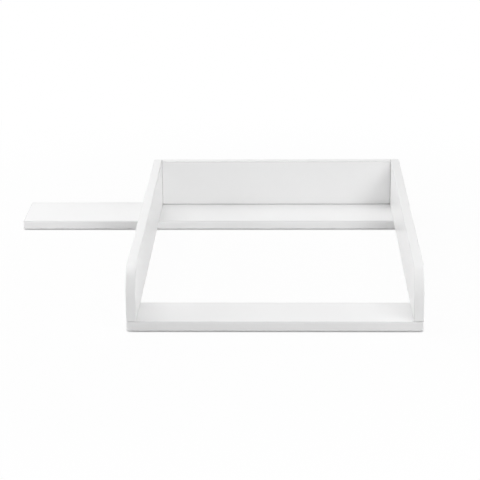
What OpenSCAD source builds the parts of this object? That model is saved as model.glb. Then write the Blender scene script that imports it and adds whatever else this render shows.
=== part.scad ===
// Changing-table tray: five white faced boards with plastic edge bands. Two side boards and a
// back board stand on a front rail and on a long rear rail, which runs on past the left side
// board. The tray lies on a chest of drawers and holds a changing mat; it is open at the front.
// Frame: +X to the right, +Y to the wall, +Z up, origin under the middle of the outer box.

/* [Tray] */
// Width over the two side boards
tray_w = 530; // [440:1:640]
// Depth from the front edge to the wall face
tray_d = 750; // [620:1:900]
// Height of the side boards and the back board
wall_h = 97; // [80:1:140]
// Radius of the side boards' top front corner
corner_r = 50; // [20:1:65]

/* [Boards] */
// Thickness of all the boards
board_t = 18; // [15:0.1:22]
// Depth of the front rail
front_rail_d = 102; // [80:1:130]
// Depth of the rear rail
rear_rail_d = 140; // [110:1:170]
// Length of the rear rail
rear_rail_l = 800; // [660:1:960]
// Open joint between each end of the back board and its side board
end_gap = 0.4; // [0:0.1:1]

/* [Edge bands] */
// Thickness of the edge bands
band_t = 2; // [1:0.1:3]
// Rounding of the bands' outer edges, at most 0.2 less than their thickness
band_r = 1.8; // [0.5:0.1:2.8]
// Glue line between a board and its bands
glue_t = 0.1; // [0.05:0.05:0.2]

/* [Screws] */
// Overall length of a furniture screw
screw_l = 50; // [40:1:60]
// Diameter of the thread and the plain neck
screw_d = 7; // [5:0.1:8.5]
// Root diameter of the thread
screw_root_d = 4.6; // [3.5:0.1:6]
// Diameter of the countersunk head
screw_head_d = 10; // [8.5:0.1:12]
// Distance from one turn of the thread to the next
screw_pitch = 3; // [2:0.1:4]
// Width of the hexagon socket across its flats
socket_w = 4; // [3:0.1:5]
// Depth of the hexagon socket
socket_h = 3.5; // [2:0.1:4]
// Depth of the head below the rail's underside
head_recess = 0.5; // [0.2:0.1:1]
// Clearance around screws and dowels in their holes
hole_gap = 0.1; // [0.05:0.05:0.2]

/* [Dowels] */
// Diameter of the dowels
dowel_d = 8; // [6:0.1:10]
// Length of the dowels
dowel_l = 30; // [24:1:36]
// Depth of a dowel in the face of a board
dowel_seat = 10; // [8:0.1:12]

/* [Pads] */
// Thickness of the anti-slip pads
pad_t = 2; // [1:0.1:4]
// Diameter of the anti-slip pads
pad_d = 24; // [15:1:30]

/* [Hidden] */
$fn = 64;
eps = 0.02;
edge_r = min(band_r, band_t - 0.2);
core_inset = band_t + glue_t;

// planes of the frame
x_right = rear_rail_l / 2;
x_left = x_right - tray_w;
x_mid = x_right - tray_w / 2;
y_front = -tray_d / 2;
y_back = tray_d / 2;
z_rail = pad_t;
z_wall = pad_t + board_t;

// the back board stands between the side boards, flush with the wall face
back_l = tray_w - 2 * (board_t + end_gap);
back_y = y_back - board_t / 2;

// a joint's screws lie this far in from its ends, with a dowel half way between them
joint_inset = 26;
front_joint = [joint_inset, front_rail_d - joint_inset];
rear_joint = [joint_inset, rear_rail_d - joint_inset - board_t / 2];
side_screw_ys = concat([for (y = front_joint) y_front + y],
                       [for (y = rear_joint) y_back - rear_rail_d + y]);
side_dowel_ys = [for (i = [0, 2]) (side_screw_ys[i] + side_screw_ys[i + 1]) / 2];
back_screw_xs = [for (i = [-1:1]) x_mid + i * back_l / 3];
back_dowel_xs = [for (i = [-0.5, 0.5]) x_mid + i * back_l / 3];
end_dowel_zs = [z_wall + wall_h / 4, z_wall + 3 * wall_h / 4];

// screw: a head with a thin rim, a neck as long as the rail lets it be, then the thread
head_rim = 0.8;
neck_l = board_t - head_recess - 1.5;
tip_l = 4;
crest = 0.4;
flank = 0.7;
hole_end = 0.5;

// dowel: chamfered ends and straight glue flutes
dowel_chamfer = 1;
flute_r = 0.5;
flute_count = 8;

// pads: evenly spread between the ends of a rail, on its middle line
pad_inset = 36;
pad_bevel = 0.4;
front_pad_count = 3;
rear_pad_count = 4;

board_white = [0.93, 0.93, 0.93];
band_white = [0.95, 0.95, 0.95];
zinc = [0.75, 0.76, 0.78];
beech = [0.82, 0.66, 0.46];
pad_grey = [0.55, 0.55, 0.56];

// ---- outlines ----

// What is cut from the corner at the origin to round it.
module corner_cut(r) {
  difference() {
    translate([-eps, -eps]) square(r + eps);
    translate([r, r]) circle(r);
  }
}

// Rectangle with its own radius at each corner, counter-clockwise from the origin, drawn
// inwards by the inset, which its radii lose too.
module outline(w, h, radii, inset = 0) {
  difference() {
    translate([inset, inset]) square([w - 2 * inset, h - 2 * inset]);
    for (i = [0:3]) if (radii[i] > inset)
      translate([i == 1 || i == 2 ? w - inset : inset, i >= 2 ? h - inset : inset])
        rotate(90 * i) corner_cut(radii[i] - inset);
  }
}

// Extrudes an outline along X or Y; its first axis then lies along Y or X, its second along Z.
module along_x(l) { rotate([90, 0, 90]) linear_extrude(l) children(); }
module along_y(l) { translate([0, l, 0]) rotate([90, 0, 0]) linear_extrude(l) children(); }

// Box with all its edges rounded.
module rounded_box(w, d, h, r) {
  intersection() {
    linear_extrude(h) outline(w, d, [r, r, r, r]);
    along_x(w) outline(d, h, [r, r, r, r]);
    along_y(d) outline(w, h, [r, r, r, r]);
  }
}

// ---- screws, dowels and their holes, standing on z = 0 ----

// Half outline of a screw: head, neck, rings that stand for the thread, blunt tip.
function screw_outline() =
  let (turns = floor((screw_l - tip_l - neck_l) / screw_pitch),
       root = screw_root_d / 2, outer = screw_d / 2)
  concat(
    [[0, 0], [screw_head_d / 2, 0], [screw_head_d / 2, head_rim],
     [outer, head_rim + screw_head_d / 2 - outer], [outer, neck_l], [root, neck_l + flank]],
    [for (i = [1:turns], p = [[root, -flank - crest / 2], [outer, -crest / 2], [outer, crest / 2],
                              [root, flank + crest / 2]])
      [p[0], neck_l + (i - 0.1) * screw_pitch + p[1]]],
    [[root, screw_l - tip_l], [root / 2, screw_l], [0, screw_l]]);

module screw() {
  difference() {
    rotate_extrude() polygon(screw_outline());
    translate([0, 0, -eps]) cylinder(h = socket_h + eps, d = socket_w / cos(30), $fn = 6);
  }
}

module screw_hole() {
  head = screw_head_d + 2 * hole_gap;
  shank = screw_d + 2 * hole_gap;
  rotate_extrude() polygon([
    [0, -head_recess - eps], [head / 2, -head_recess - eps], [head / 2, head_rim + hole_gap],
    [shank / 2, head_rim + hole_gap + (head - shank) / 2], [shank / 2, screw_l + hole_end],
    [0, screw_l + hole_end]
  ]);
}

module dowel() {
  intersection() {
    linear_extrude(dowel_l) difference() {
      circle(d = dowel_d);
      for (i = [0:flute_count - 1]) rotate(i * 360 / flute_count)
        translate([dowel_d / 2 + flute_r / 3, 0]) circle(flute_r, $fn = 24);
    }
    rotate_extrude() polygon([
      [0, 0], [dowel_d / 2 - dowel_chamfer, 0], [dowel_d / 2 + eps, dowel_chamfer + eps],
      [dowel_d / 2 + eps, dowel_l - dowel_chamfer - eps], [dowel_d / 2 - dowel_chamfer, dowel_l],
      [0, dowel_l]
    ]);
  }
}

module dowel_hole() {
  translate([0, 0, -hole_end]) cylinder(h = dowel_l + 2 * hole_end, d = dowel_d + 2 * hole_gap);
}

// ---- places ----

// Draws what stands at the left side board; the right one is its mirror image.
module left() { translate([x_left, y_front, z_wall]) children(); }
module right() { translate([x_right, y_front, z_wall]) mirror([1, 0, 0]) children(); }

module at_side_screws(x) {
  for (y = side_screw_ys) translate([x, y, z_rail + head_recess]) children();
}
module at_back_screws() {
  for (x = back_screw_xs) translate([x, back_y, z_rail + head_recess]) children();
}
module at_side_dowels(x) {
  for (y = side_dowel_ys) translate([x, y, z_wall - dowel_seat]) children();
}
module at_back_dowels() {
  for (x = back_dowel_xs) translate([x, back_y, z_wall - dowel_seat]) children();
}
module at_end_dowels() {
  for (m = [0, 1], z = end_dowel_zs) translate([x_mid, back_y, z]) mirror([m, 0, 0])
    translate([board_t - dowel_seat - tray_w / 2, 0, 0]) rotate([0, 90, 0]) children();
}
module at_pads(x0, x1, y, count) {
  for (i = [0:count - 1])
    translate([x0 + pad_inset + i * (x1 - x0 - 2 * pad_inset) / (count - 1), y, 0]) children();
}

module side_holes(x) {
  at_side_screws(x) screw_hole();
  at_side_dowels(x) dowel_hole();
}
module left_holes() { side_holes(x_left + board_t / 2); }
module right_holes() { side_holes(x_right - board_t / 2); }
module back_holes() {
  at_back_screws() screw_hole();
  at_back_dowels() dowel_hole();
}
module end_holes() { at_end_dowels() dowel_hole(); }

// ---- side boards: thickness along X, front at y = 0, foot at z = 0 ----

module side_outline(inset) {
  outline(tray_d, wall_h, [edge_r, edge_r, edge_r, corner_r], inset);
}

module side_core() { along_x(board_t) side_outline(core_inset); }

// Quarter of a disc with a rounded rim, where the front edge turns into the top edge.
module side_corner() {
  translate([0, corner_r, wall_h - corner_r]) intersection() {
    rotate([0, 90, 0]) rotate_extrude() outline(corner_r, board_t, [0, edge_r, edge_r, 0]);
    translate([-eps, -corner_r - eps, 0]) cube([board_t + 2 * eps, corner_r + eps, corner_r + eps]);
  }
}

module side_front_top_band() {
  difference() {
    union() {
      difference() {
        rounded_box(board_t, tray_d, wall_h, edge_r);
        translate([-eps, -eps, wall_h - corner_r])
          cube([board_t + 2 * eps, corner_r + eps, corner_r + eps]);
      }
      side_corner();
    }
    translate([-1, 0, 0]) along_x(board_t + 2) side_outline(band_t);
    translate([-1, band_t, -1]) cube([board_t + 2, tray_d, wall_h - corner_r]);
    translate([-1, tray_d / 2, -1]) cube([board_t + 2, tray_d, wall_h - band_t + 1]);
  }
}

module side_rear_band() {
  intersection() {
    rounded_box(board_t, tray_d, wall_h, edge_r);
    translate([-1, tray_d - band_t, core_inset]) cube([board_t + 2, band_t + 1, wall_h - 2 * core_inset]);
  }
}

module side_bottom_band() {
  intersection() {
    rounded_box(board_t, tray_d, wall_h, edge_r);
    translate([-1, core_inset, -1]) cube([board_t + 2, tray_d, band_t + 1]);
  }
}

module left_side_board() {
  color(board_white) difference() { left() side_core(); left_holes(); end_holes(); }
}
module left_side_front_top_band() { color(band_white) left() side_front_top_band(); }
module left_side_rear_band() { color(band_white) left() side_rear_band(); }
module left_side_bottom_band() {
  color(band_white) difference() { left() side_bottom_band(); left_holes(); }
}

module right_side_board() {
  color(board_white) difference() { right() side_core(); right_holes(); end_holes(); }
}
module right_side_front_top_band() { color(band_white) right() side_front_top_band(); }
module right_side_rear_band() { color(band_white) right() side_rear_band(); }
module right_side_bottom_band() {
  color(band_white) difference() { right() side_bottom_band(); right_holes(); }
}

// ---- back board: its ends are plain, because they butt against the side boards ----

module back(z) { translate([x_left + board_t + end_gap, y_back - board_t, z]) children(); }

module back_board() {
  color(board_white) difference() {
    back(z_wall + core_inset) cube([back_l, board_t, wall_h - 2 * core_inset]);
    back_holes();
    end_holes();
  }
}
module back_top_band() {
  color(band_white) back(z_wall + wall_h - band_t)
    along_x(back_l) outline(board_t, band_t, [0, 0, edge_r, edge_r]);
}
module back_bottom_band() {
  color(band_white) difference() {
    back(z_wall) along_x(back_l) outline(board_t, band_t, [edge_r, edge_r, 0, 0]);
    back_holes();
  }
}

// ---- rails: length along X from x = 0, front at y = 0, underside at z = 0 ----

module rail_core(l, d) {
  translate([core_inset, core_inset, 0]) cube([l - 2 * core_inset, d - 2 * core_inset, board_t]);
}
module rail_front_band(l, d) {
  intersection() {
    rounded_box(l, d, board_t, edge_r);
    translate([-1, -1, -1]) cube([l + 2, band_t + 1, board_t + 2]);
  }
}
module rail_rear_band(l, d) { translate([0, d, 0]) mirror([0, 1, 0]) rail_front_band(l, d); }
module rail_left_band(l, d) {
  intersection() {
    rounded_box(l, d, board_t, edge_r);
    translate([-1, core_inset, -1]) cube([band_t + 1, d - 2 * core_inset, board_t + 2]);
  }
}
module rail_right_band(l, d) { translate([l, 0, 0]) mirror([1, 0, 0]) rail_left_band(l, d); }

module at_front_rail() { translate([x_left, y_front, z_rail]) children(); }
module front_rail_board() {
  color(board_white) difference() {
    at_front_rail() rail_core(tray_w, front_rail_d);
    left_holes();
    right_holes();
  }
}
module front_rail_front_band() {
  color(band_white) at_front_rail() rail_front_band(tray_w, front_rail_d);
}
module front_rail_rear_band() {
  color(band_white) at_front_rail() rail_rear_band(tray_w, front_rail_d);
}
module front_rail_left_band() {
  color(band_white) at_front_rail() rail_left_band(tray_w, front_rail_d);
}
module front_rail_right_band() {
  color(band_white) at_front_rail() rail_right_band(tray_w, front_rail_d);
}

module at_rear_rail() { translate([x_right - rear_rail_l, y_back - rear_rail_d, z_rail]) children(); }
module rear_rail_board() {
  color(board_white) difference() {
    at_rear_rail() rail_core(rear_rail_l, rear_rail_d);
    left_holes();
    right_holes();
    back_holes();
  }
}
module rear_rail_front_band() {
  color(band_white) at_rear_rail() rail_front_band(rear_rail_l, rear_rail_d);
}
module rear_rail_rear_band() {
  color(band_white) at_rear_rail() rail_rear_band(rear_rail_l, rear_rail_d);
}
module rear_rail_left_band() {
  color(band_white) at_rear_rail() rail_left_band(rear_rail_l, rear_rail_d);
}
module rear_rail_right_band() {
  color(band_white) at_rear_rail() rail_right_band(rear_rail_l, rear_rail_d);
}

// ---- fasteners and pads ----

module left_side_screws() { color(zinc) at_side_screws(x_left + board_t / 2) screw(); }
module right_side_screws() { color(zinc) at_side_screws(x_right - board_t / 2) screw(); }
module back_screws() { color(zinc) at_back_screws() screw(); }
module left_side_dowels() { color(beech) at_side_dowels(x_left + board_t / 2) dowel(); }
module right_side_dowels() { color(beech) at_side_dowels(x_right - board_t / 2) dowel(); }
module back_bottom_dowels() { color(beech) at_back_dowels() dowel(); }
module back_end_dowels() { color(beech) at_end_dowels() dowel(); }

module pad() {
  rotate_extrude() polygon([
    [0, 0], [pad_d / 2 - pad_bevel, 0], [pad_d / 2, pad_bevel], [pad_d / 2, pad_t], [0, pad_t]
  ]);
}
module front_rail_pads() {
  color(pad_grey) at_pads(x_left, x_right, y_front + front_rail_d / 2, front_pad_count) pad();
}
module rear_rail_pads() {
  color(pad_grey)
    at_pads(x_right - rear_rail_l, x_right, y_back - rear_rail_d / 2, rear_pad_count) pad();
}

left_side_board();
left_side_front_top_band();
left_side_rear_band();
left_side_bottom_band();
right_side_board();
right_side_front_top_band();
right_side_rear_band();
right_side_bottom_band();
back_board();
back_top_band();
back_bottom_band();
front_rail_board();
front_rail_front_band();
front_rail_rear_band();
front_rail_left_band();
front_rail_right_band();
rear_rail_board();
rear_rail_front_band();
rear_rail_rear_band();
rear_rail_left_band();
rear_rail_right_band();
left_side_screws();
right_side_screws();
back_screws();
left_side_dowels();
right_side_dowels();
back_bottom_dowels();
back_end_dowels();
front_rail_pads();
rear_rail_pads();
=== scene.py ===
"""Changing-table tray: board and band finishes, turned hardware, studio floor, lamps and camera."""

import math

import bmesh
import bpy
from mathutils import Matrix, Vector


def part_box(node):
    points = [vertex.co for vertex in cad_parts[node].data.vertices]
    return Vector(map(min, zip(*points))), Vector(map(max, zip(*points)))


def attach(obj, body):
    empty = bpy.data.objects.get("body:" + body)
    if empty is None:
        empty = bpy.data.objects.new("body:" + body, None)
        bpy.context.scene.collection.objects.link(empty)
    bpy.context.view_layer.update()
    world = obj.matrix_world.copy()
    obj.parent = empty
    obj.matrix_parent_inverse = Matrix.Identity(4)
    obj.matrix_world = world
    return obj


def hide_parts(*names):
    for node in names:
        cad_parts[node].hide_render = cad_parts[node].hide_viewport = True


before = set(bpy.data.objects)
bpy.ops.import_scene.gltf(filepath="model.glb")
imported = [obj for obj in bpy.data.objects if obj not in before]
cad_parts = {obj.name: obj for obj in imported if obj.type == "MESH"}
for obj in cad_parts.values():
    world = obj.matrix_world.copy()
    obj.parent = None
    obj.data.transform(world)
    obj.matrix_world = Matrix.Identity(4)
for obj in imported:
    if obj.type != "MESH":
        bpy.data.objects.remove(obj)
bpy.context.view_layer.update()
MM = 0.001
BODY = "root"

# The boards, each with the axis, as a number, that its two faced sides look along.
BOARDS = {
    "left_side_board": 0,
    "right_side_board": 0,
    "back_board": 1,
    "front_rail_board": 2,
    "rear_rail_board": 2,
}
JOINT_SHADED_BOARD = "back_board"
BACK_BANDS = ("back_top_band", "back_bottom_band")
RAIL_BANDS_ALONG_X = tuple(
    f"{rail}_rail_{edge}_band" for rail in ("front", "rear") for edge in ("front", "rear")
)
LEFT_SIDE_BANDS, RIGHT_SIDE_BANDS = (
    tuple(f"{side}_side_{strip}_band" for strip in ("front_top", "rear", "bottom"))
    for side in ("left", "right")
)
RAIL_BANDS_ALONG_Y = tuple(
    f"{rail}_rail_{end}_band" for rail in ("front", "rear") for end in ("left", "right")
)


# ---- node graphs ----

class Link:
    """A socket of a node graph. Operators on it add Math nodes, so sums read as Python."""

    def __init__(self, graph, socket):
        self.graph, self.socket = graph, socket

    def math(self, operation, *others):
        return self.graph.math(operation, self, *others)

    def __add__(self, other):
        return self.graph.math("ADD", self, other)

    __radd__ = __add__

    def __sub__(self, other):
        return self.graph.math("SUBTRACT", self, other)

    def __rsub__(self, other):
        return self.graph.math("SUBTRACT", other, self)

    def __mul__(self, other):
        return self.graph.math("MULTIPLY", self, other)

    __rmul__ = __mul__

    def __truediv__(self, other):
        return self.graph.math("DIVIDE", self, other)

    def __rtruediv__(self, other):
        return self.graph.math("DIVIDE", other, self)

    def __pow__(self, other):
        return self.graph.math("POWER", self, other)

    def ramp(self, low, high, smooth=True):
        """0 below low, 1 above high and a rise between them; a high below low turns it round."""
        settings = {"interpolation_type": "SMOOTHSTEP" if smooth else "LINEAR"}
        return self.graph.node("ShaderNodeMapRange", settings, {0: self, 1: low, 2: high})


class Graph:
    """A node tree with one way to add any node: its type, its settings, then its sockets."""

    def __init__(self, tree):
        self.tree = tree

    def node(self, kind, settings=None, sockets=None, out=0):
        made = self.tree.nodes.new(kind)
        for name, value in (settings or {}).items():
            if name == "stops":
                self.set_stops(made.color_ramp, value)
            else:
                setattr(made, name, value)
        for key, value in (sockets or {}).items():
            if isinstance(value, Link):
                self.tree.links.new(value.socket, made.inputs[key])
            else:
                made.inputs[key].default_value = value
        return Link(self, made.outputs[out]) if made.outputs else made

    @staticmethod
    def set_stops(ramp, stops):
        while len(ramp.elements) < len(stops):
            ramp.elements.new(1.0)
        for element, (place, colour) in zip(ramp.elements, stops):
            element.position = place
            element.color = (*colour, 1.0)

    def math(self, operation, *values):
        return self.node("ShaderNodeMath", {"operation": operation}, dict(enumerate(values)))

    def split(self, vector):
        """The three numbers of a vector."""
        separate = self.node("ShaderNodeSeparateXYZ", {}, {0: vector})
        return [Link(self, output) for output in separate.socket.node.outputs]

    def join(self, x, y, z):
        return self.node("ShaderNodeCombineXYZ", {}, {0: x, 1: y, 2: z})

    def stretch(self, vector, factors):
        return self.node("ShaderNodeVectorMath", {"operation": "MULTIPLY"}, {0: vector, 1: factors})

    def mix(self, low, high, factor):
        """Colour low where the factor is 0, colour high where it is 1."""
        return self.node("ShaderNodeMix", {"data_type": "RGBA"}, {0: factor, 6: low, 7: high}, out=2)

    def noise(self, vector, scale, detail=2.0, roughness=0.5):
        sockets = {"Vector": vector, "Scale": scale, "Detail": detail, "Roughness": roughness}
        return self.node("ShaderNodeTexNoise", {}, sockets, out=0)


def grey(level):
    return (level, level, level, 1.0)


class Finish(Graph):
    """A material's graph: its surface is one Principled shader."""

    def __init__(self, name):
        self.material = bpy.data.materials.new(name)
        self.material.use_nodes = True
        self.material.node_tree.nodes.clear()
        super().__init__(self.material.node_tree)

    def place(self):
        return self.node("ShaderNodeTexCoord", out="Object")

    def depth(self, place, node, axis):
        """How far in a point lies from the nearer of a node's two sides along an axis."""
        low, high = (corner[axis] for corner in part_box(node))
        return (high - low) / 2 - (self.split(place)[axis] - (high + low) / 2).math("ABSOLUTE")

    def attribute(self, name):
        return self.node("ShaderNodeAttribute", {"attribute_name": name}, out="Vector")

    def surface(self, sockets, height=None):
        """Ends the graph. The height, in millimetres, becomes a bump."""
        if height is not None:
            bump = {"Height": height, "Distance": MM, "Strength": 1.0}
            sockets = {**sockets, "Normal": self.node("ShaderNodeBump", {}, bump)}
        shader = self.node("ShaderNodeBsdfPrincipled", {}, sockets)
        self.node("ShaderNodeOutputMaterial", {}, {"Surface": shader})
        return self.material


# ---- finishes ----
# Pattern scales are repeats per metre; heights are in millimetres.

PLASTIC_IOR = 1.5
TONE_SWING = 0.006

FACING_T = 0.3 * MM
FACING_WHITE = 0.88
FACING_SATIN = 0.32
FACING_CLOUDS, FACING_PEARL, FACING_PRESS = 6.0, 900.0, 160.0
# The clear resin on top of the facing: how much of it there is, and its roughness.
RESIN_FILM, RESIN_ROUGHNESS = 0.2, 0.04

CHIP_SCALE = 620.0
CHIP_HEIGHT = 0.12
CHIP_ROUGHNESS = 0.85
CHIP_TONES = [
    (0.0, (0.24, 0.14, 0.07)),
    (0.35, (0.45, 0.29, 0.15)),
    (0.7, (0.6, 0.43, 0.25)),
    (1.0, (0.74, 0.58, 0.38)),
]

BAND_WHITE = 0.845
# Grey of the rounded band edges: partly wear, partly painted shade.
BAND_WORN_SHADE_GREY = 0.75
BAND_ROUND = 1.8 * MM
BAND_SATIN = 0.5
BAND_CLOUDS, BAND_CHATTER, BAND_WORN_SHADE_PATCHES = 9.0, 260.0, 45.0
SCRAPES_ALONG, SCRAPES_ACROSS = 7.0, 1500.0

# Painted shade in the back board's joints and at the feet of the sides' bands, grey where a neighbour
# is near: how near a neighbour must be, the openness where that starts, and the grey of the shade.
JOINT_SHADE_REACH = 2.5 * MM
JOINT_SHADE_OPEN = (0.5, 0.9)
JOINT_SHADE_GREY = 0.6

ZINC_BLUE, ZINC_YELLOW = (0.66, 0.68, 0.72, 1.0), (0.78, 0.76, 0.7, 1.0)
ZINC_FILM = 330.0
# Turning marks, in radians per metre outwards and along the screw.
RINGS_OUT, RINGS_ALONG = 14000.0, 5200.0

BEECH_TONES = [(0.25, (0.5, 0.31, 0.16)), (0.5, (0.66, 0.45, 0.26)), (0.75, (0.78, 0.58, 0.37))]
BEECH_FLECK = (0.34, 0.19, 0.1, 1.0)
GRAIN_STRETCH = (900.0, 900.0, 40.0)
FLECK_STRETCH = (2600.0, 2600.0, 320.0)
FLECK_SPAN = (0.66, 0.74)

FOAM_CELLS, FOAM_CLOUDS = 1100.0, 160.0
# The dark tone also serves as the painted shade in the open cells.
FOAM_DARK, FOAM_LIGHT = 0.1, 0.2
PORE_SPAN = (0.1, 0.5)


def paint_joint_shade(g, white):
    """White with painted shade: it turns grey in the narrow corner where two parts meet."""
    sockets = {"Distance": JOINT_SHADE_REACH}
    open_air = g.node("ShaderNodeAmbientOcclusion", {"samples": 8}, sockets, out="AO")
    return g.mix(grey(JOINT_SHADE_GREY), white, open_air.ramp(*JOINT_SHADE_OPEN))


def clouded_white(g, white, cloud):
    """White that swings a little up and down with the clouds."""
    return g.mix(grey(white - TONE_SWING), grey(white + TONE_SWING), cloud)


def chipboard(g, place):
    """Colour and height, in millimetres, of pressed chips where a board is cut open."""
    sockets = {"Vector": place, "Scale": CHIP_SCALE}
    chips = g.node("ShaderNodeTexVoronoi", {"feature": "F1"}, sockets, out="Color")
    tone = g.split(chips)[0]
    colour = g.node("ShaderNodeValToRGB", {"stops": CHIP_TONES}, {0: tone}, out="Color")
    return colour, tone * CHIP_HEIGHT


def faced_board(node, axis):
    """White satin facing on the two broad sides, chips in the bores and the plain ends."""
    g = Finish("faced_" + node)
    place = g.place()
    facing = g.depth(place, node, axis).math("LESS_THAN", FACING_T)
    cloud = g.noise(place, FACING_CLOUDS, 2.0)
    pearl = g.noise(place, FACING_PEARL, 1.0)
    press = g.noise(place, FACING_PRESS, 2.0)
    white = clouded_white(g, FACING_WHITE, cloud)
    # The back board gets painted shade in its joints.
    if node == JOINT_SHADED_BOARD:
        white = paint_joint_shade(g, white)
    chips, chip_height = chipboard(g, place)
    smooth = FACING_SATIN + 0.03 * cloud + 0.04 * pearl
    facing_height = pearl * 0.0025 + press * 0.003
    return g.surface(
        {
            "Base Color": g.mix(chips, white, facing),
            "Roughness": facing * smooth + (1 - facing) * CHIP_ROUGHNESS,
            "IOR": PLASTIC_IOR,
            "Coat Weight": facing * RESIN_FILM,
            "Coat Roughness": RESIN_ROUGHNESS,
        },
        facing * facing_height + (1 - facing) * chip_height,
    )


def edge_band(name, node, axis, stretch, joint_shaded):
    """White plastic strip, scraped and buffed along its length; its rounded edges are greyed, partly as
    wear and partly as painted shade that dims the light they catch.
    """
    g = Finish(name)
    place = g.place()
    scraped = g.noise(g.stretch(place, stretch), 1.0, 3.0, 0.65)
    chatter = g.noise(place, BAND_CHATTER, 1.0)
    cloud = g.noise(place, BAND_CLOUDS, 2.0)
    rounding = g.depth(place, node, axis).ramp(BAND_ROUND, 0.0)
    # The rounded edges are greyed: partly wear, partly painted shade that dims the bright line they
    # catch.
    worn_and_shaded = rounding * (0.7 + 0.4 * g.noise(place, BAND_WORN_SHADE_PATCHES, 3.0))
    white = g.mix(clouded_white(g, BAND_WHITE, cloud), grey(BAND_WORN_SHADE_GREY), worn_and_shaded)
    # Painted shade where the band meets a neighbouring part.
    if joint_shaded:
        white = paint_joint_shade(g, white)
    return g.surface(
        {
            "Base Color": white,
            "Roughness": BAND_SATIN + 0.08 * scraped + 0.03 * cloud + 0.06 * worn_and_shaded,
            "IOR": PLASTIC_IOR,
        },
        scraped * 0.003 + chatter * 0.002,
    )


def zinc_plate():
    """Bright zinc with a bluish to yellowish film and fine turning marks."""
    g = Finish("zinc_plate")
    x, y, z = g.split(g.attribute("local"))
    radius = (x * x + y * y).math("SQRT")
    rings = (radius * RINGS_OUT + z * RINGS_ALONG).math("SINE") * 0.5 + 0.5
    film = g.noise(g.place(), ZINC_FILM, 3.0, 0.6)
    return g.surface(
        {
            "Base Color": g.mix(ZINC_BLUE, ZINC_YELLOW, film),
            "Metallic": 1.0,
            "Roughness": 0.24 + 0.1 * rings + 0.16 * film,
        },
        rings * 0.01 + film * 0.012,
    )


def beech_wood():
    """Plain beech with its grain along the dowel and short dark flecks."""
    g = Finish("beech_wood")
    local = g.attribute("local")
    grain = g.noise(g.stretch(local, GRAIN_STRETCH), 1.0, 4.0, 0.6)
    flecks = g.noise(g.stretch(local, FLECK_STRETCH), 1.0, 1.0).ramp(*FLECK_SPAN)
    wood = g.node("ShaderNodeValToRGB", {"stops": BEECH_TONES}, {0: grain}, out="Color")
    return g.surface(
        {
            "Base Color": g.mix(wood, BEECH_FLECK, flecks * 0.7),
            "Roughness": 0.55 + 0.2 * grain,
        },
        grain * 0.05 - flecks * 0.03,
    )


def pad_foam():
    """Black foam, its cells open at the surface, with painted shade deep in the open cells."""
    g = Finish("pad_foam")
    place = g.place()
    sockets = {"Vector": place, "Scale": FOAM_CELLS}
    cells = g.node("ShaderNodeTexVoronoi", {"feature": "F1"}, sockets, out="Distance")
    cloud = g.noise(place, FOAM_CLOUDS, 3.0)
    shaded_pores = cells.ramp(*PORE_SPAN)
    # Painted shade: the pits of the open cells are darker; the clouds vary the tone at random.
    colour = g.mix(grey(FOAM_DARK), grey(FOAM_LIGHT), shaded_pores * 0.6 + cloud * 0.4)
    sockets = {"Base Color": colour, "Roughness": 0.8 + 0.1 * cloud}
    return g.surface(sockets, shaded_pores * 0.06 + cloud * 0.03)


# ---- turned hardware: screws, dowels and pads ----

SCREW_RIM = 0.8 * MM
SCREW_ROOT_R = 2.3 * MM
SCREW_SHANK_R = 3.5 * MM
SCREW_NECK = 16.0 * MM
SCREW_TIP = 4.0 * MM
SCREW_BEVEL = 0.15 * MM
NECK_STEP = 0.7 * MM
THREAD_PITCH = 3.0 * MM
THREAD_END = 46.0 * MM
THREAD_STEPS = 96
# Shares of the pitch: half a ridge's foot, and the run over which the thread rises at both ends.
# Share of that half foot: where the ridge has reached its full height.
RIDGE_HALF, RUN_OUT = 0.3, 0.7
RIDGE_CREST = 0.35
SOCKET_W = 4.0 * MM
SOCKET_H = 3.5 * MM
DOWEL_CHAMFER = 1.0 * MM
DOWEL_STEPS = 24
FLUTES = 8
FLUTE_DEPTH = 0.33 * MM
FLUTE_SHARPNESS = 5.0
FLUTE_FROM_R = 1.5 * MM
PAD_RIB = 0.15 * MM
PAD_RIBS = 5
PAD_MARGIN = 3.0 * MM
PAD_RIM = 0.6 * MM
RIM_STEPS = 6
SCREW_SIDES, DOWEL_SIDES, PAD_SIDES = 48, 96, 64
WELD = 0.001 * MM
GRID_WELD = 0.002 * MM
SHARP_ANGLE = math.radians(32)


def solids_of(node):
    """The boxes of a CAD node's separate solids, as lowest and highest corners."""
    shape = bmesh.new()
    shape.from_mesh(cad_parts[node].data)
    bmesh.ops.remove_doubles(shape, verts=shape.verts, dist=WELD)
    waiting, boxes = set(shape.verts), []
    while waiting:
        found, edge = set(), [next(iter(waiting))]
        while edge:
            vertex = edge.pop()
            if vertex not in found:
                found.add(vertex)
                edge.extend(link.other_vert(vertex) for link in vertex.link_edges)
        waiting -= found
        columns = list(zip(*(vertex.co for vertex in found)))
        boxes.append((Vector(map(min, columns)), Vector(map(max, columns))))
    shape.free()
    return sorted(boxes, key=lambda corners: tuple(corners[0]))


def screw_outline(head_r, length):
    """Half outline of a screw from the middle of its head to its tip, as radius and height."""
    cone_top = SCREW_RIM + head_r - SCREW_SHANK_R
    thread_start = SCREW_NECK + NECK_STEP
    step = (length - SCREW_TIP - thread_start) / THREAD_STEPS
    thread = [thread_start + step * i for i in range(THREAD_STEPS + 1)]
    return (
        [(0.0, 0.0), (head_r - SCREW_BEVEL, 0.0), (head_r, SCREW_BEVEL), (head_r, SCREW_RIM),
         (SCREW_SHANK_R, cone_top), (SCREW_SHANK_R, SCREW_NECK)]
        + [(SCREW_ROOT_R, z) for z in thread]
        + [(SCREW_ROOT_R * 0.5, length), (0.0, length)]
    )


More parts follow.
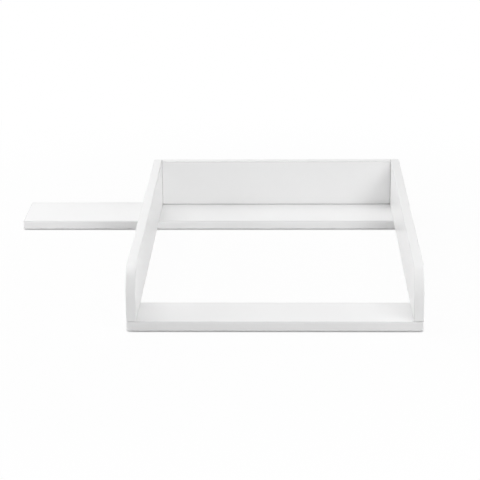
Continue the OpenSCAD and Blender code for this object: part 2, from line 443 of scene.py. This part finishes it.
def dowel_outline(radius, length):
    """Half outline of a dowel with a chamfer at both ends."""
    ends = [(0.0, 0.0), (radius - DOWEL_CHAMFER, 0.0)]
    step = (length - 2 * DOWEL_CHAMFER) / DOWEL_STEPS
    shank = [DOWEL_CHAMFER + step * i for i in range(DOWEL_STEPS + 1)]
    return ends + [(radius, z) for z in shank] + [(r, length - z) for r, z in reversed(ends)]


def pad_outline(radius, height):
    """Half outline of a soft disc with ring-shaped ribs underneath and a rounded rim."""
    points = [(0.0, 0.0)]
    ring = (radius - PAD_MARGIN) / PAD_RIBS
    for i in range(PAD_RIBS):
        start = ring * (i + 0.5)
        points += [(start, 0.0), (start + ring * 0.12, PAD_RIB), (start + ring * 0.38, PAD_RIB),
                   (start + ring * 0.5, 0.0)]
    for i in range(RIM_STEPS + 1):
        turn = math.pi / 2 * i / RIM_STEPS
        rim_r = radius - PAD_RIM + PAD_RIM * math.sin(turn)
        points.append((rim_r, PAD_RIM - PAD_RIM * math.cos(turn)))
    return points + [(radius, height), (0.0, height)]


def named_input(tree, name, kind, value=None):
    item = tree.interface.new_socket(name=name, in_out="INPUT", socket_type="NodeSocket" + kind)
    if value is not None:
        item.default_value = value


def turned_tree():
    """Turns an outline about its axis, with thread, flutes and socket, and puts one at each place."""
    tree = bpy.data.node_groups.new("turned_part", "GeometryNodeTree")
    named_input(tree, "Places", "Geometry")
    named_input(tree, "Outline", "Object")
    named_input(tree, "Sides", "Int", SCREW_SIDES)
    named_input(tree, "Pitch", "Float", THREAD_PITCH)
    named_input(tree, "Thread depth", "Float", 0.0)
    named_input(tree, "Thread start", "Float", 0.0)
    named_input(tree, "Thread end", "Float", 0.0)
    named_input(tree, "Flutes", "Float", FLUTES)
    named_input(tree, "Flute depth", "Float", 0.0)
    named_input(tree, "Socket width", "Float", SOCKET_W)
    named_input(tree, "Socket depth", "Float", 0.0)
    named_input(tree, "Material", "Material")
    tree.interface.new_socket(name="Parts", in_out="OUTPUT", socket_type="NodeSocketGeometry")
    g = Graph(tree)
    given = g.node("NodeGroupInput").socket.node.outputs
    inputs = {output.name: Link(g, output) for output in given if output.name}

    outline = g.node("GeometryNodeObjectInfo", {}, {"Object": inputs["Outline"]}, out="Geometry")
    count = g.node("GeometryNodeAttributeDomainSize", {"component": "MESH"}, {"Geometry": outline})
    grid_sockets = {"Vertices X": count, "Vertices Y": inputs["Sides"] + 1}
    grid = g.node("GeometryNodeMeshGrid", {}, grid_sockets)
    along, around, _ = g.split(Link(g, grid.socket.node.outputs["UV Map"]))
    row = (along * (count - 1)).math("ROUND")
    position = g.node("GeometryNodeInputPosition")
    sample = {"Geometry": outline, "Value": position, "Index": row}
    point = g.node("GeometryNodeSampleIndex", {"data_type": "FLOAT_VECTOR"}, sample)
    radius, _, height = g.split(point)

    angle = around * math.tau
    turn = (height / inputs["Pitch"] - around).math("FRACT")
    ridge = ((turn - 0.5).math("ABSOLUTE") / RIDGE_HALF).ramp(1.0, RIDGE_CREST, smooth=False)
    run_out = inputs["Pitch"] * RUN_OUT
    begin = height.ramp(inputs["Thread start"], inputs["Thread start"] + run_out)
    finish = height.ramp(inputs["Thread end"], inputs["Thread end"] - run_out)
    flute = ((angle * inputs["Flutes"]).math("COSINE") * 0.5 + 0.5) ** FLUTE_SHARPNESS
    rim = radius.math("GREATER_THAN", FLUTE_FROM_R)
    raised = inputs["Thread depth"] * ridge * begin * finish
    reach = radius + raised - inputs["Flute depth"] * flute * rim
    placed = g.join(reach * angle.math("COSINE"), reach * angle.math("SINE"), height)
    turned = g.node("GeometryNodeSetPosition", {}, {"Geometry": grid, "Position": placed})
    closed = g.node("GeometryNodeMergeByDistance", {}, {"Geometry": turned, "Distance": GRID_WELD})

    socket_r = inputs["Socket width"] / (2 * math.cos(math.pi / 6))
    hexagon = {"Vertices": 6, "Radius": socket_r, "Depth": inputs["Socket depth"] * 2}
    cutter = g.node("GeometryNodeMeshCylinder", {}, hexagon)
    cut = g.node("GeometryNodeMeshBoolean", {"operation": "DIFFERENCE", "solver": "EXACT"},
                 {"Mesh 1": closed, "Mesh 2": cutter})
    has_socket = inputs["Socket depth"].math("GREATER_THAN", 0.0)
    part = g.node("GeometryNodeSwitch", {"input_type": "GEOMETRY"},
                  {"Switch": has_socket, "False": closed, "True": cut})
    kept = g.node("GeometryNodeStoreNamedAttribute", {"data_type": "FLOAT_VECTOR", "domain": "POINT"},
                  {"Geometry": part, "Name": "local", "Value": position})

    aim = g.node("GeometryNodeInputNamedAttribute", {"data_type": "FLOAT_VECTOR"}, {"Name": "aim"})
    rotation = g.node("FunctionNodeAlignRotationToVector", {"axis": "Z"}, {"Vector": aim})
    spread = g.node("GeometryNodeInstanceOnPoints", {},
                    {"Points": inputs["Places"], "Instance": kept, "Rotation": rotation})
    real = g.node("GeometryNodeRealizeInstances", {}, {"Geometry": spread})
    done = g.node("GeometryNodeSetMaterial", {}, {"Geometry": real, "Material": inputs["Material"]})
    g.node("NodeGroupOutput", {}, {0: done})
    return tree


def mesh_object(name, points, edges=()):
    """A plain object in the scene, made of points and, if given, edges."""
    mesh = bpy.data.meshes.new(name)
    mesh.from_pydata(points, edges, [])
    made = bpy.data.objects.new(name, mesh)
    bpy.context.scene.collection.objects.link(made)
    return made


def turned_parts(name, node, tree, outline, sizes, material):
    """One turned part in place of each solid of a CAD node, as one plain mesh that replaces it."""
    boxes = solids_of(node)
    spans = [high - low for low, high in boxes]
    stands = abs(spans[0].x - spans[0].y) < abs(spans[0].y - spans[0].z)
    axis = 2 if stands else 0
    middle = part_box(node)[0].lerp(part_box(node)[1], 0.5)
    places, aims = [], []
    for low, high in boxes:
        start = low.lerp(high, 0.5)
        outward = axis == 0 and start.x > middle.x
        start[axis] = high[axis] if outward else low[axis]
        places.append(start)
        aims.append([(-1.0 if outward else 1.0) if i == axis else 0.0 for i in range(3)])
    profile = outline(max(span.y for span in spans) / 2, spans[0][axis])
    drawn = mesh_object(name + "_outline", [(r, 0.0, z) for r, z in profile],
                        [(i, i + 1) for i in range(len(profile) - 1)])
    source = mesh_object(name + "_places", places)
    source.data.attributes.new("aim", "FLOAT_VECTOR", "POINT").data.foreach_set("vector", sum(aims, []))
    modifier = source.modifiers.new("turned", "NODES")
    modifier.node_group = tree
    values = {"Outline": drawn, "Material": material, **sizes}
    for item in tree.interface.items_tree:
        if item.name in values:
            modifier[item.identifier] = values[item.name]
    bpy.context.view_layer.update()
    evaluated = source.evaluated_get(bpy.context.evaluated_depsgraph_get())
    mesh = bpy.data.meshes.new_from_object(evaluated)
    source.modifiers.remove(modifier)
    for helper in (source, drawn):
        bpy.data.objects.remove(helper)
    shape = bmesh.new()
    shape.from_mesh(mesh)
    bmesh.ops.recalc_face_normals(shape, faces=shape.faces)
    shape.to_mesh(mesh)
    shape.free()
    mesh.shade_smooth()
    mesh.set_sharp_from_angle(angle=SHARP_ANGLE)
    mesh.name = name
    piece = bpy.data.objects.new(name, mesh)
    bpy.context.scene.collection.objects.link(piece)
    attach(piece, BODY)
    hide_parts(node)
    return piece


def add_hardware():
    tree = turned_tree()
    zinc, beech, foam = zinc_plate(), beech_wood(), pad_foam()
    screw = {
        "Thread depth": SCREW_SHANK_R - SCREW_ROOT_R,
        "Thread start": SCREW_NECK,
        "Thread end": THREAD_END,
        "Socket depth": SOCKET_H,
    }
    for node in ("left_side_screws", "right_side_screws", "back_screws"):
        turned_parts("threaded_" + node, node, tree, screw_outline, screw, zinc)
    dowel = {"Flute depth": FLUTE_DEPTH, "Sides": DOWEL_SIDES}
    for node in ("left_side_dowels", "right_side_dowels", "back_bottom_dowels", "back_end_dowels"):
        turned_parts("fluted_" + node, node, tree, dowel_outline, dowel, beech)
    for node in ("front_rail_pads", "rear_rail_pads"):
        disc = {"Sides": PAD_SIDES}
        turned_parts("ribbed_" + node, node, tree, pad_outline, disc, foam)


def paint(nodes, material):
    for node in nodes:
        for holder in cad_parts[node].material_slots:
            holder.material = material


def add_finishes():
    for node, axis in BOARDS.items():
        paint([node], faced_board(node, axis))
    along_x = (SCRAPES_ALONG, SCRAPES_ACROSS, SCRAPES_ACROSS)
    along_y = (SCRAPES_ACROSS, SCRAPES_ALONG, SCRAPES_ACROSS)
    along_sides = (SCRAPES_ACROSS, SCRAPES_ALONG, SCRAPES_ALONG)
    for name, nodes, axis, stretch, joint_shaded in (
        ("back_band", BACK_BANDS, 1, along_x, True),
        ("rail_band_along_x", RAIL_BANDS_ALONG_X, 2, along_x, False),
        ("rail_band_along_y", RAIL_BANDS_ALONG_Y, 2, along_y, False),
        ("left_side_band", LEFT_SIDE_BANDS, 0, along_sides, True),
        ("right_side_band", RIGHT_SIDE_BANDS, 0, along_sides, True),
    ):
        paint(nodes, edge_band(name, nodes[0], axis, stretch, joint_shaded))


# ---- studio ----

FLOOR_HALF = 12.0
FLOOR_WHITE = 0.84
FLOOR_GLOW = 0.94
MIRRORED_GLOW = 0.2
FLOOR_FADE = (0.5, 1.3)
# Contact shadow: how far the floor looks for the object, the openness where it starts and ends,
# and the share of its white that the floor keeps under the object.
CONTACT_REACH = 16 * MM
CONTACT_OPEN = (0.25, 0.65)
CONTACT_LEAST = 0.27
WORLD_LEVEL = 0.01
# Every lamp looks from this far at one point inside the tray, given here from the middle of the
# tray's front edge.
LAMP_DISTANCE = 2.6
LAMP_TARGET = Vector((0.0, 0.3, 0.05))
# Azimuth seen from above, counter-clockwise from +X; elevation; side of the square lamp; power.
LAMPS = {
    "right_low": (0.0, 14.5, 1.6, 22.0),
    "right_front": (-45.0, 45.0, 1.6, 30.5),
    "front_right": (-70.0, 16.0, 0.7, 2.0),
    "front_low": (-84.0, 8.0, 0.45, 7.6),
    "left_front": (-135.0, 45.0, 1.6, 3.0),
    "left_high": (-160.0, 65.0, 1.2, 6.5),
    "left_low": (180.0, 18.5, 1.4, 31.0),
    "left_back": (135.0, 50.0, 1.6, 21.5),
    "back": (90.0, 65.0, 1.6, 9.6),
}

# Camera, seen from the middle of the tray's front edge on the floor, and its turns in degrees.
CAMERA_FROM_FRONT = Vector((14.9, -2943.0, 1115.4)) * MM
CAMERA_LEFT, CAMERA_DOWN, CAMERA_ROLL = 1.472, 17.750, -0.470
FOCAL_LENGTH = 132.13
SENSOR_WIDTH = 36.0
CLIP_START, CLIP_END = 0.05, 60.0


def seen_directly(g, mirrored=1.0):
    """1 for rays from the camera, and this much of 1 for those that mirrors and glass send on."""
    camera, glossy, through = [g.node("ShaderNodeLightPath", {}, {}, out=name)
                               for name in ("Is Camera Ray", "Is Glossy Ray", "Is Transmission Ray")]
    return (camera + (glossy + through) * mirrored).math("MINIMUM", 1.0)


def add_floor():
    corners = [(x * FLOOR_HALF, y * FLOOR_HALF, 0.0) for x, y in ((-1, -1), (1, -1), (1, 1), (-1, 1))]
    mesh = bpy.data.meshes.new("studio_floor")
    mesh.from_pydata(corners, [], [(0, 1, 2, 3)])
    floor = bpy.data.objects.new("studio_floor", mesh)
    bpy.context.scene.collection.objects.link(floor)
    g = Finish("floor_paper")
    paper = g.node("ShaderNodeBsdfDiffuse", {}, {"Color": grey(FLOOR_WHITE)})
    glow = g.node("ShaderNodeEmission", {}, {"Color": grey(1.0), "Strength": 1.0})
    x, y, _ = g.split(g.place())
    far = (x * x + y * y).math("SQRT").ramp(*FLOOR_FADE)
    sockets = {"Distance": CONTACT_REACH}
    open_air = g.node("ShaderNodeAmbientOcclusion", {"samples": 16}, sockets, out="AO")
    kept = CONTACT_LEAST + (1.0 - CONTACT_LEAST) * open_air.ramp(*CONTACT_OPEN)
    share = (FLOOR_GLOW + (1.0 - FLOOR_GLOW) * far) * kept
    lit = seen_directly(g, MIRRORED_GLOW) * share
    both = g.node("ShaderNodeMixShader", {}, {0: lit, 1: paper, 2: glow})
    g.node("ShaderNodeOutputMaterial", {}, {"Surface": both})
    mesh.materials.append(g.material)


def add_world():
    world = bpy.data.worlds.new("studio")
    world.use_nodes = True
    world.node_tree.nodes.clear()
    g = Graph(world.node_tree)
    seen = seen_directly(g)
    strength = seen + (1 - seen) * WORLD_LEVEL
    background = g.node("ShaderNodeBackground", {}, {"Color": grey(1.0), "Strength": strength})
    g.node("ShaderNodeOutputWorld", {}, {"Surface": background})
    bpy.context.scene.world = world


def add_lamps(target):
    for name, (azimuth, elevation, side, power) in LAMPS.items():
        around, up = math.radians(azimuth), math.radians(elevation)
        away = Vector((math.cos(around) * math.cos(up), math.sin(around) * math.cos(up), math.sin(up)))
        data = bpy.data.lights.new(name, "AREA")
        data.shape, data.size, data.energy = "SQUARE", side, power
        lamp = bpy.data.objects.new(name, data)
        lamp.location = target + away * LAMP_DISTANCE
        lamp.rotation_euler = away.to_track_quat("Z", "Y").to_euler()
        bpy.context.scene.collection.objects.link(lamp)


def add_camera(tray_front):
    data = bpy.data.cameras.new("camera")
    data.sensor_width, data.lens = SENSOR_WIDTH, FOCAL_LENGTH
    data.clip_start, data.clip_end = CLIP_START, CLIP_END
    camera = bpy.data.objects.new("camera", data)
    turn = (
        Matrix.Rotation(math.radians(CAMERA_LEFT), 4, "Z")
        @ Matrix.Rotation(math.radians(90.0 - CAMERA_DOWN), 4, "X")
        @ Matrix.Rotation(math.radians(CAMERA_ROLL), 4, "Z")
    )
    camera.matrix_world = Matrix.Translation(tray_front + CAMERA_FROM_FRONT) @ turn
    bpy.context.scene.collection.objects.link(camera)
    bpy.context.scene.camera = camera


def tray_front_middle():
    low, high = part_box("front_rail_front_band")
    return Vector(((low.x + high.x) / 2, low.y, 0.0))


add_finishes()
add_hardware()
add_floor()
add_world()
add_lamps(tray_front_middle() + LAMP_TARGET)
add_camera(tray_front_middle())
bpy.context.scene.view_settings.view_transform = "Standard"
